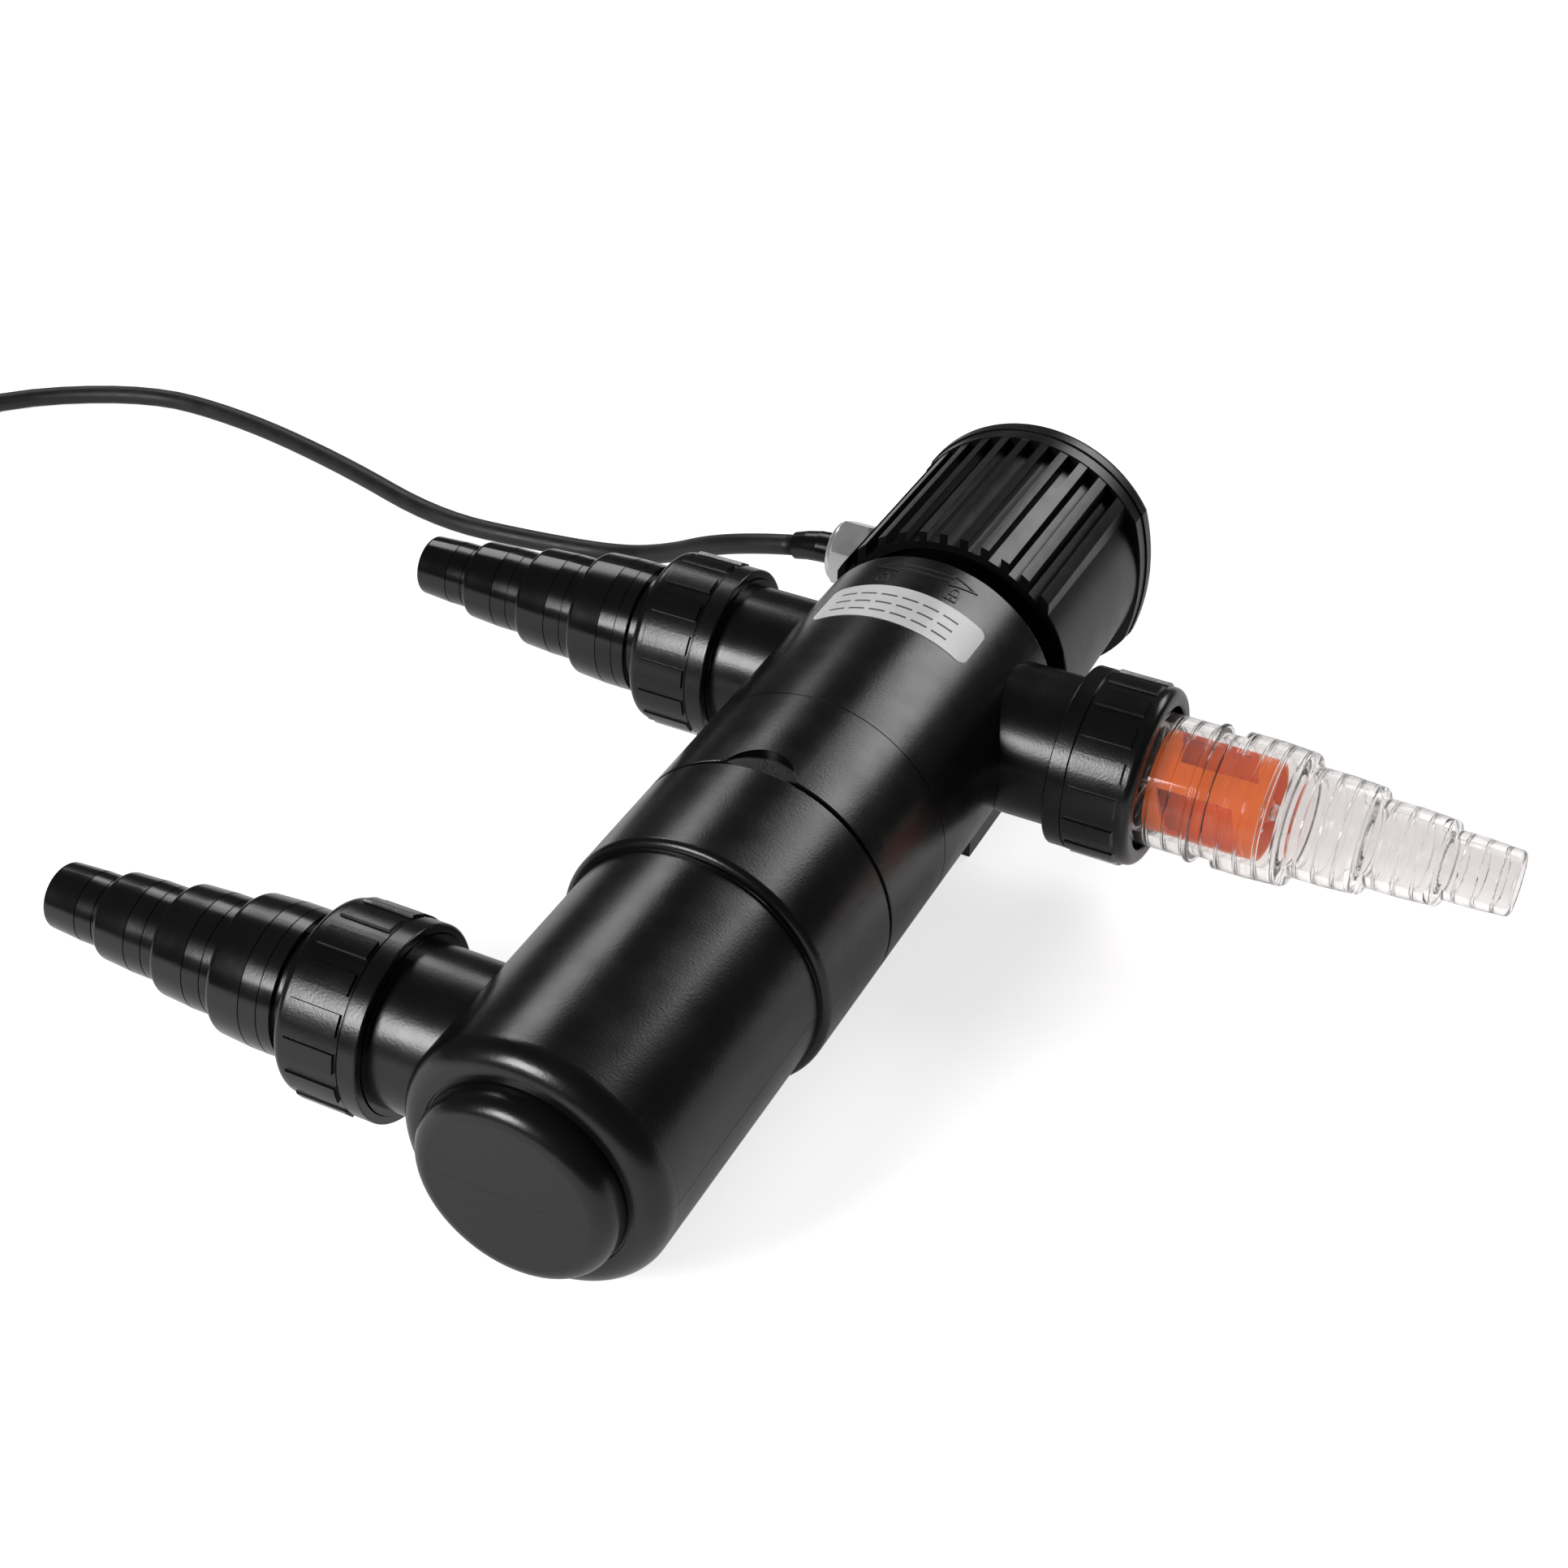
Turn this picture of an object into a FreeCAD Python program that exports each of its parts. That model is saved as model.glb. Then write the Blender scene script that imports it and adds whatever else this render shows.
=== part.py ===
"""Pond UV clarifier: a two-part tubular housing with three hose ports, a twist-lock ballast head,
an ultraviolet lamp in a quartz sleeve, and a mains lead.

Units are millimetres. The housing axis runs along +Y, from the closed end to the head, the hose
ports lie along X, and Z is up. The origin is on the floor, straight under the crossing of the
housing axis and the two outlet ports. Every piece is drawn about the housing axis and lifted by
AXIS_Z when it is written.
"""
import FreeCAD, Part
import math
import os

from FreeCAD import Vector

# --- driving dimensions ---------------------------------------------------------------------
AXIS_Z = 42.2            # height of the housing axis above the floor
WALL = 3.0               # moulded wall
RUN_GAP = 0.3            # gap between curved faces of bodies that move past each other
FIT_GAP = 0.05           # gap between fitted faces of one body

UPPER_R = 39.3           # upper housing, outside
LOWER_R = 36.7           # lower housing, outside
SPIGOT_R = 36.25         # spigots that fit inside the upper housing
FACE_Y = -223.0          # closed end of the housing
END_SEAM_Y = -205.8      # where the rounded end meets the lower tube
BEAD_Y = -132.6          # start of the bead where the lower housing widens
SEAM_Y = -94.4           # joint between lower and upper housing
NECK_Y = 19.4            # end of the upper housing's full diameter

INLET_Y = -182.6         # inlet port, measured from the outlet ports at Y = 0
PORT_R = 22.2            # port tube, outside
PORT_BORE_R = 17.5
PORT_REACH = 26.9        # port length beyond the housing's surface
FOOT_Z = -20.0           # top of the front foot's blank, inside the housing's wall
THREAD_R = 24.0          # port thread, drawn as a plain cylinder
THREAD_LEN = 12.5

NUT_R = 26.3             # union nut barrel
NUT_PAD_R = 27.1         # over its grip pads
NUT_HOLE_R = 21.2
NUT_PADS = 16
NUT_MOUTH = -12.0        # the nut's two ends, measured outward from the port's end face
NUT_END = 13.4

STEP_R = (20.0, 16.1, 12.9, 10.0)          # hose tail steps for 40, 32, 25 and 20 mm hose
TAIL_ENDS = (39.3, 59.9, 81.0, 99.4)       # outer end of each step, from the port's end face
BAND = (16.7, 11.2)                        # grooves that part a step's bands, back from its end
TAIL_BORE_R = (16.3, 13.4, 9.9, 7.6)
CLEAR_STRETCH = 16.8                       # extra length of the clear tail
FLANGE = (1.6, 5.0)                        # the tail's flange inside the nut

NECK_R = 33.0            # twist-lock neck under the head's skirt
NECK_END_Y = 37.0
NECK_BORE_R = 30.3
NECK_INSERT_Y = 4.0      # inner end of the neck's insert, which holds the quartz sleeve
SKIRT_Y = 29.9           # near edge of the head
SKIRT_R = 39.1           # smooth panels round the sides and underneath
CHANNEL_R = 38.2         # floor between the ribs
PANEL_Z = 23.5           # top edge of the smooth panel on the +X side
SKIRT_BORE_R = 35.8
RIM_Y = 92.4             # rim at the far end of the head's ribs
COVER_Y = 97.3           # seam between head and end cover
END_Y = 103.4
RIM_R = 41.7
COVER_R = 42.2
RIB_R = 41.4
RIB_PITCH = 6.6
RIB_T = 2.6
RIB_COUNT = 11
TWIST_DEG = 30.0         # turn between closed and open
LUG_DEG = 24.0
LUG_COUNT = 3

ROTOR_START = 14.0       # flow rotor's two ends, measured outward from the port's end face
ROTOR_END = 46.2
ROTOR_R = 14.7
SPINDLE_R = 1.5

SLEEVE_R = 17.2          # quartz sleeve, outside
SLEEVE_WALL = 1.5
LAMP_TUBE_R = 6.0
LAMP_TUBE_OFFSET = 7.4

SWITCH_R = 31.65         # safety switch's plunger, measured from the housing axis
SWITCH_DEG = 15.0        # its angle from +Z towards +X when the head is closed
PLUNGER_TRAVEL = 2.5

GLAND_Y = 67.0           # cable gland on the head's -X side
CORD_R = 3.4

# The rubber sleeve's sections: x, height, radius, downward tilt in degrees, y.
SLEEVE_RINGS = (
    (-40.0, 0.0, 5.1, 0.0, 67.0),
    (-56.5, 0.0, 5.1, 0.0, 67.0),
    (-60.5, -0.3, 5.0, 5.0, 67.0),
    (-65.0, -1.2, 4.7, 9.5, 67.1),
    (-69.35, -2.57, 4.4, 12.7, 67.2),
)

# The lead's route from the sleeve on the gland to its coil, about the housing axis, chosen by hand.
CORD_ROUTE = [
    (-69.5, 67.2, -2.6),
    (-81.0, 67.4, -5.2),
    (-103.0, 70.0, -13.6),
    (-122.0, 77.0, -26.6),
    (-146.0, 84.8, -38.8),
    (-178.0, 79.0, -38.8),
    (-216.0, 75.5, -38.8),
    (-268.0, 92.0, -38.8),
    (-322.0, 103.0, -38.8),
    (-367.0, 102.5, -38.8),
    (-420.0, 66.0, -38.8),
    (-452.0, -20.0, -38.8),
    (-455.0, -86.0, -38.8),
]
COIL_TURN_R = (33.4, 40.2, 47.0)           # the coil's turns, side by side
COIL_LAYERS = 6
COIL_EXIT_DEG = -70.0                      # direction in which the lead leaves the coil

# From the coil's top layer down to the plug: along the exit direction, to its left, above the floor.
PLUG_ROUTE = [
    (0.0, -47.0, 37.4),
    (27.0, -47.0, 37.0),
    (54.0, -46.0, 22.0),
    (80.0, -42.0, 8.5),
    (104.0, -37.0, 8.5),
]
PLUG_THICK, PLUG_WIDE, PLUG_LONG = 17.0, 34.0, 42.0
PLUG_TAIL = 24.0

made = {}


# --- drawing helpers ------------------------------------------------------------------------
def rounded_wire(corners, closed=True):
    """A wire through (point, radius) corners, with a tangent arc at each corner that has a radius."""
    count = len(corners)
    pieces = []
    for i, (point, radius) in enumerate(corners):
        if radius <= 0 or (not closed and i in (0, count - 1)):
            pieces.append((point, None, point))
            continue
        to_last = (corners[i - 1][0] - point).normalize()
        to_next = (corners[(i + 1) % count][0] - point).normalize()
        half = to_last.getAngle(to_next) / 2
        reach = radius / math.tan(half)
        start, end = point + to_last * reach, point + to_next * reach
        bisector = (to_last + to_next).normalize()
        middle = point + bisector * (radius / math.sin(half) - radius)
        pieces.append((start, middle, end))
    edges = []
    for i, (start, middle, end) in enumerate(pieces):
        if middle is not None:
            edges.append(Part.Arc(start, middle, end).toShape())
        if i + 1 < count or closed:
            following = pieces[(i + 1) % count][0]
            if end.distanceToPoint(following) > 1e-6:
                edges.append(Part.LineSegment(end, following).toShape())
    return Part.Wire(edges)


def turned(outline):
    """A solid of revolution about +Z from (along, radius[, corner radius]) points."""
    corners = [(Vector(p[1], 0, p[0]), p[2] if len(p) > 2 else 0.0) for p in outline]
    face = Part.Face(rounded_wire(corners))
    return face.revolve(Vector(0, 0, 0), Vector(0, 0, 1), 360)


def along_y(shape):
    """Turns a shape drawn about +Z so that it lies about the housing axis, +Y."""
    shape = shape.copy()
    shape.rotate(Vector(0, 0, 0), Vector(1, 0, 0), -90)
    return shape


def on_port(shape, side, y):
    """Turns a shape drawn about +Z onto a port: side is +1 or -1 along X, at that Y."""
    shape = shape.copy()
    shape.rotate(Vector(0, 0, 0), Vector(0, 1, 0), 90 * side)
    shape.translate(Vector(0, y, 0))
    return shape


def drum(start, end, radius):
    """A plain cylinder about +Z between two heights."""
    return Part.makeCylinder(radius, end - start, Vector(0, 0, start))


def tube(start, end, outer, inner):
    """A plain tube about +Z between two heights."""
    return drum(start, end, outer).cut(drum(start - 1, end + 1, inner))


def block(low, high):
    """A box between two corners."""
    size = [high[i] - low[i] for i in range(3)]
    return Part.makeBox(size[0], size[1], size[2], Vector(*low))


def sector(start, end, outer, inner, middle_deg, width_deg):
    """Part of a tube about +Y: middle_deg is measured from +Z towards +X."""
    piece = Part.makeCylinder(outer, end - start, Vector(0, 0, 0), Vector(0, 0, 1), width_deg)
    piece = piece.cut(drum(-1, end - start + 1, inner))
    piece.rotate(Vector(0, 0, 0), Vector(0, 0, 1), -90 - width_deg / 2)
    piece.rotate(Vector(0, 0, 0), Vector(1, 0, 0), -90)
    piece.translate(Vector(0, start, 0))
    piece.rotate(Vector(0, 0, 0), Vector(0, 1, 0), middle_deg)
    return piece


def o_ring(centre_radius, section_radius, at):
    """An O-ring about +Z."""
    return Part.makeTorus(centre_radius, section_radius, Vector(0, 0, at))


def fused(*shapes):
    """One clean solid from several that overlap."""
    whole = shapes[0].fuse(list(shapes[1:]))
    return whole.removeSplitter()


def add(name, shape):
    """Keeps a finished piece under its node's name."""
    made[name] = shape


# --- housing --------------------------------------------------------------------------------
def housing_end():
    """Closed end of the lower housing: a raised disc in a shallow step, rounded into the tube."""
    inner_r = LOWER_R - WALL
    add("housing_end", along_y(turned([
        (FACE_Y, 0), (FACE_Y, 27.3, 5.2), (FACE_Y + 8.9, 27.9), (FACE_Y + 8.9, 28.3),
        (FACE_Y + 8.5, 28.5), (FACE_Y + 8.5, LOWER_R, 6.9), (END_SEAM_Y, LOWER_R), (END_SEAM_Y, inner_r), (FACE_Y + 12.0, inner_r, 5.0),
        (FACE_Y + 12.0, 24.1), (FACE_Y + 3.2, 24.1, 2.0), (FACE_Y + 3.2, 0),
    ])))


def lower_housing():
    """Lower tube with its bead, the hole under the inlet and the spigot with the seal's groove."""
    inner_r = LOWER_R - WALL
    shell = along_y(turned([
        (END_SEAM_Y + FIT_GAP, inner_r), (END_SEAM_Y + FIT_GAP, LOWER_R),
        (BEAD_Y, LOWER_R), (BEAD_Y, LOWER_R + 0.6), (BEAD_Y + 1.0, LOWER_R + 0.6),
        (BEAD_Y + 1.0, UPPER_R, 2.0), (SEAM_Y - 0.7, UPPER_R), (SEAM_Y - 0.7, UPPER_R - 0.9),
        (SEAM_Y, UPPER_R - 0.9), (SEAM_Y, SPIGOT_R), (-82.0, SPIGOT_R, 0.6), (-82.0, inner_r),
    ]))
    shell = shell.cut(on_port(drum(LOWER_R - 15, LOWER_R + 5, PORT_BORE_R), -1, INLET_Y))
    add("lower_housing", shell.cut(along_y(tube(-89.6, -87.6, 37.0, 34.8))))


def upper_housing():
    """Upper tube with the holes under the outlets and the pocket of a round tab at the seam."""
    shell = along_y(turned([
        (SEAM_Y + FIT_GAP, UPPER_R - WALL), (SEAM_Y + FIT_GAP, UPPER_R - 0.9),
        (SEAM_Y + 0.9, UPPER_R - 0.9), (SEAM_Y + 0.9, UPPER_R, 0.3), (NECK_Y, UPPER_R, 1.2),
        (NECK_Y, UPPER_R - WALL),
    ]))
    for side in (-1, 1):
        shell = shell.cut(on_port(drum(UPPER_R - 15, UPPER_R + 5, PORT_BORE_R), side, 0))
    tab = Part.makeCylinder(10.7, 10, Vector(0, SEAM_Y - 2.1, UPPER_R - 1.7))
    ring_line = along_y(tube(-59.4, -59.0, UPPER_R + 1, UPPER_R - 0.15))
    add("upper_housing", shell.cut(tab).cut(ring_line))


def saddled_port(housing_r, side, y):
    """A port stub with its plain thread, saddled on the housing's outside and bored through."""
    reach = housing_r + PORT_REACH
    stub = turned([
        (20.0, 0), (20.0, PORT_R), (reach - THREAD_LEN, PORT_R), (reach - THREAD_LEN, THREAD_R),
        (reach, THREAD_R, 0.8), (reach, 0),
    ])
    stub = on_port(stub.cut(drum(19, reach + 1, PORT_BORE_R)), side, y)
    return stub.cut(along_y(drum(y - 40, y + 40, housing_r + FIT_GAP)))


def housing_ports():
    """The inlet's port on the lower tube and the two outlets' ports on the upper one."""
    add("inlet_port", saddled_port(LOWER_R, -1, INLET_Y))
    add("left_outlet_port", saddled_port(UPPER_R, -1, 0.0))
    add("right_outlet_port", saddled_port(UPPER_R, 1, 0.0))


def feet():
    """The front foot with its two open pockets, and the small rear foot."""
    front = block((-26.7, -8.5, -AXIS_Z), (26.7, NECK_Y, FOOT_Z))
    for x in (-23.7, 8.0):
        front = front.cut(block((x, -5.5, -AXIS_Z - 1), (x + 15.7, 16.4, -AXIS_Z + 5.0)))
    add("front_foot", front.cut(along_y(drum(-20, 30, UPPER_R + FIT_GAP))))
    rear = block((-15, -190, -AXIS_Z), (15, -172, FOOT_Z))
    add("rear_foot", rear.cut(along_y(drum(-200, -160, LOWER_R + FIT_GAP))))


def sleeve_cradle():
    """Short cup inside the closed end that steadies the quartz sleeve's tip."""
    cup = tube(FACE_Y + 3.2 + FIT_GAP, FACE_Y + 16.0, SLEEVE_R + 2.2, SLEEVE_R + 0.4)
    add("sleeve_cradle", along_y(cup))


def lock_neck():
    """Insert in the upper tube's end: it seats the quartz sleeve and carries the twist-lock lugs."""
    outside = turned([
        (NECK_INSERT_Y, SLEEVE_R + 0.4), (NECK_INSERT_Y, SPIGOT_R), (NECK_Y, SPIGOT_R),
        (NECK_Y, NECK_R), (NECK_END_Y, NECK_R, 0.5), (NECK_END_Y, NECK_BORE_R),
        (16.4, NECK_BORE_R), (16.4, 25.6), (8.0, 25.6), (8.0, SLEEVE_R + 0.4),
    ])
    neck = along_y(outside).cut(switch_ramp())
    for side in (-1, 1):
        neck = neck.cut(on_port(drum(28, UPPER_R, PORT_BORE_R), side, 0))
    lugs = []
    for i in range(LUG_COUNT):
        lugs.append(sector(33.4, 36.2, SKIRT_BORE_R - RUN_GAP, NECK_R - 0.8, lug_angle(i), LUG_DEG))
    add("lock_neck", fused(neck, *lugs))


def lug_angle(i):
    """Angle of a twist-lock lug when the head is closed."""
    return 60.0 + i * 360.0 / LUG_COUNT


def switch_ramp():
    """Sloping pocket in the neck's end face that lets the switch plunger out as the head opens."""
    half = SWITCH_R * math.sin(math.radians(TWIST_DEG / 2))
    slope = math.degrees(math.atan(PLUNGER_TRAVEL / (2 * half)))
    cutter = block((-half - 3.5, 0, -3), (half + 3.5, 12, 3))
    cutter.rotate(Vector(0, 0, 0), Vector(0, 0, 1), -slope)
    cutter.translate(Vector(0, NECK_END_Y - 0.6 - PLUNGER_TRAVEL / 2, SWITCH_R))
    cutter.rotate(Vector(0, 0, 0), Vector(0, 1, 0), SWITCH_DEG + TWIST_DEG / 2)
    return cutter


# --- union nuts and hose tails --------------------------------------------------------------
def union_nut():
    """A union nut about +Z, measured from the port's end face, with raised grip pads."""
    body = turned([
        (NUT_MOUTH, THREAD_R + RUN_GAP), (NUT_MOUTH, NUT_R + 0.3, 0.5),
        (NUT_MOUTH + 5.4, NUT_R + 0.3, 0.2), (NUT_MOUTH + 5.4, NUT_R - 0.3),
        (NUT_MOUTH + 5.9, NUT_R - 0.3), (NUT_MOUTH + 5.9, NUT_R), (NUT_END, NUT_R, 2.6),
        (NUT_END, NUT_HOLE_R, 0.8), (5.3, NUT_HOLE_R), (5.3, THREAD_R + RUN_GAP),
    ])
    pads = []
    for i in range(NUT_PADS):
        pad = block((NUT_R - 2.0, -2.9, NUT_MOUTH + 6.6), (NUT_PAD_R + 1, 2.9, NUT_END - 3.0))
        pad.rotate(Vector(0, 0, 0), Vector(0, 0, 1), (i + 0.5) * 360.0 / NUT_PADS)
        pads.append(pad)
    limit = turned([
        (NUT_MOUTH + 6, NUT_R - 1.5), (NUT_MOUTH + 6, NUT_PAD_R), (NUT_END - 4.4, NUT_PAD_R),
        (NUT_END - 2.8, NUT_R - 1.5),
    ])
    pads = [pad.common(limit) for pad in pads]
    return body.fuse(pads).removeSplitter()


def tail_steps(start, ends):
    """Outline of the hose steps about +Z: each has two level bands and a tapered one at its end."""
    points = []
    inner_end = start
    for radius, outer_end in zip(STEP_R, ends):
        points.append((inner_end, radius))
        for back in BAND:
            low = outer_end - back - 0.35
            points += [(low, radius), (low, radius - 0.25), (low + 0.35, radius - 0.25)]
            points.append((low + 0.35, radius))
        nose = 2.0 if outer_end < ends[-1] else 1.4
        points.append((outer_end, radius - 0.7, nose))
        inner_end = outer_end
    return points


def hose_tail(stretch=0.0):
    """A stepped hose tail about +Z, measured from the port's end face."""
    ends = [end + stretch for end in TAIL_ENDS]
    outline = [(FLANGE[0], TAIL_BORE_R[0]), (FLANGE[0], 23.6, 0.4), (FLANGE[1], 23.6, 0.4)]
    if stretch:
        bead = stretch + 10.4
        outline += [(FLANGE[1], 19.3), (bead, 19.3), (bead, 20.4, 0.6), (bead + 1.6, 20.4, 0.6)]
        outline.append((bead + 1.6, 18.0))
    else:
        outline += [(FLANGE[1], 20.6), (11.5, 20.6, 1.0), (11.5, 18.6)]
    first = ends[0] - 20.8
    outline.append((first, outline[-1][1]))
    outline += tail_steps(first, ends)
    outline.append((ends[-1], TAIL_BORE_R[-1]))
    for i in (3, 2, 1):
        outline.append((ends[i - 1] - 1.0, TAIL_BORE_R[i]))
        outline.append((ends[i - 1] - 4.6, TAIL_BORE_R[i - 1]))
    return turned(outline)


def tail_gasket():
    """Flat gasket between a port's end face and its tail's flange."""
    return tube(FIT_GAP, 1.6 - FIT_GAP, 23.0, 18.2)


def ports():
    """Nut, tail and gasket for the three ports; the right-hand outlet has the clear tail."""
    lower_reach, upper_reach = LOWER_R + PORT_REACH, UPPER_R + PORT_REACH
    places = (
        ("inlet", lower_reach, -1, INLET_Y, 0.0),
        ("left_outlet", upper_reach, -1, 0.0, 0.0),
        ("right_outlet", upper_reach, 1, 0.0, CLEAR_STRETCH),
    )
    for name, reach, side, y, stretch in places:
        pieces = {"nut": union_nut(), "tail": hose_tail(stretch), "gasket": tail_gasket()}
        for kind, piece in pieces.items():
            piece.translate(Vector(0, 0, reach))
            add(f"{name}_{kind}", on_port(piece, side, y))


# --- flow indicator -------------------------------------------------------------------------
def flow_indicator():
    """Spider with a fixed spindle, and the windowed rotor that spins on it in the clear tail."""
    spider = tube(8.0, 11.5, TAIL_BORE_R[0], 14.9).fuse(drum(8.0, 11.5, 3.4))
    for i in range(3):
        arm = block((2.0, -0.9, 8.0), (15.5, 0.9, 11.5))
        arm.rotate(Vector(0, 0, 0), Vector(0, 0, 1), 30 + 120 * i)
        spider = spider.fuse(arm)
    spindle = drum(8.0, ROTOR_END + 2.0, SPINDLE_R).fuse(drum(ROTOR_END + 0.6, ROTOR_END + 2.4, 2.4))
    spider = fused(spider, spindle)
    cage = tube(ROTOR_START, ROTOR_END, ROTOR_R, ROTOR_R - 1.3)
    low, high, half, slant = ROTOR_START + 5.0, ROTOR_END - 5.0, 7.0, 2.4
    corners = [(-half, low - slant), (half, low + slant), (half, high + slant), (-half, high - slant)]
    outline = Part.makePolygon([Vector(5, y, z) for y, z in corners + corners[:1]])
    for i in range(4):
        window = Part.Face(outline).extrude(Vector(15, 0, 0))
        window.rotate(Vector(0, 0, 0), Vector(0, 0, 1), 90 * i)
        cage = cage.cut(window)
    hub = drum(ROTOR_START, ROTOR_END, 3.2)
    rotor = cage.fuse(hub)
    for i in range(4):
        blade = block((2.4, -0.7, ROTOR_START + 1.0), (ROTOR_R - 0.8, 0.7, ROTOR_END - 1.0))
        blade.rotate(Vector(0, 0, 0), Vector(0, 0, 1), 45 + 90 * i)
        rotor = rotor.fuse(blade)
    rotor = rotor.removeSplitter().cut(drum(ROTOR_START - 1, ROTOR_END + 1, SPINDLE_R + 0.07))
    reach = UPPER_R + PORT_REACH
    for name, piece in (("rotor_spider", spider), ("flow_rotor", rotor)):
        piece.translate(Vector(0, 0, reach))
        add(name, on_port(piece, 1, 0))


# --- lamp and quartz sleeve -----------------------------------------------------------------
def lamp_and_sleeve():
    """Quartz sleeve with its seal and clamp ring, and the twin-tube lamp in its holder."""
    inner = SLEEVE_R - SLEEVE_WALL
    low, high = FACE_Y + 8.0, 15.0
    sleeve = turned([
        (low, 0), (low, SLEEVE_R, 9.0), (high, SLEEVE_R), (high, inner),
        (low + SLEEVE_WALL, inner, 7.5), (low + SLEEVE_WALL, 0),
    ])
    add("quartz_sleeve", along_y(sleeve))
    add("sleeve_seal", along_y(o_ring(SLEEVE_R + 2.1, 2.0, 10.1)))
    clamp = turned([
        (12.3, SLEEVE_R + 0.3), (12.3, 25.3), (16.2, 25.3), (16.2, SLEEVE_R - 1.0),
        (15.2, SLEEVE_R - 1.0), (15.2, SLEEVE_R + 0.3),
    ])
    add("sleeve_clamp_ring", along_y(clamp))
    tip, root = -196.0, 21.0
    tubes = None
    for sign in (-1, 1):
        limb = turned([
            (tip, 0), (tip, LAMP_TUBE_R, 5.0), (root, LAMP_TUBE_R), (root, LAMP_TUBE_R - 1.0),
            (tip + 14.0, LAMP_TUBE_R - 1.0, 3.0), (tip + 14.0, 0),
        ])
        limb.translate(Vector(sign * LAMP_TUBE_OFFSET, 0, 0))
        tubes = limb if tubes is None else tubes.fuse(limb)
    bridge = Part.makeCylinder(3.0, 2 * LAMP_TUBE_OFFSET, Vector(-LAMP_TUBE_OFFSET, 0, tip + 9),
                               Vector(1, 0, 0))
    add("uv_lamp", along_y(fused(tubes, bridge)))
    base = block((-14.4, root, -7.6), (14.4, 34.0, 7.6))
    base = base.makeFillet(2.0, [e for e in base.Edges if e.Length > 12.5 and e.Length < 13.5])
    add("lamp_base", base)
    holder = block((-17.0, 34.1, -10.0), (17.0, 41.9, 10.0))
    add("lamp_holder", holder)


def seals():
    """The O-rings of the housing joint and of the head's spigot."""
    add("housing_seal", along_y(o_ring(35.6, 0.75, -88.6)))
    add("head_seal", along_y(o_ring(29.0, 0.95, 31.0)))


def label():
    """Curved label with rounded corners on the upper housing, near its neck."""
    sheet = along_y(tube(-16.2, 0.9, UPPER_R + 0.25, UPPER_R))
    width = 2 * UPPER_R * math.sin(math.radians(37.3))
    outline = block((-width / 2 + 0.3, -16.2, 20.0), (width / 2 + 0.3, 0.9, 50.0))
    upright = [edge for edge in outline.Edges if abs(edge.tangentAt(edge.FirstParameter).z) > 0.99]
    add("label", sheet.common(outline.makeFillet(2.4, upright)))


# --- head -----------------------------------------------------------------------------------
def plate_outline(radius, start, end):
    """A disc about +Y whose two sides are flattened into shallower curves."""
    disc = along_y(drum(start, end, radius))
    side_r = 75.0
    half_width = radius - 2.9
    for side in (-1, 1):
        limit = Part.makeCylinder(side_r, end - start + 2, Vector(0, 0, start - 1))
        limit.translate(Vector(side * (half_width - side_r), 0, 0))
        disc = disc.common(along_y(limit))
    return disc


def rib_x(i):
    """Middle of each upright rib along X."""
    return -35.75 + i * RIB_PITCH


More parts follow.
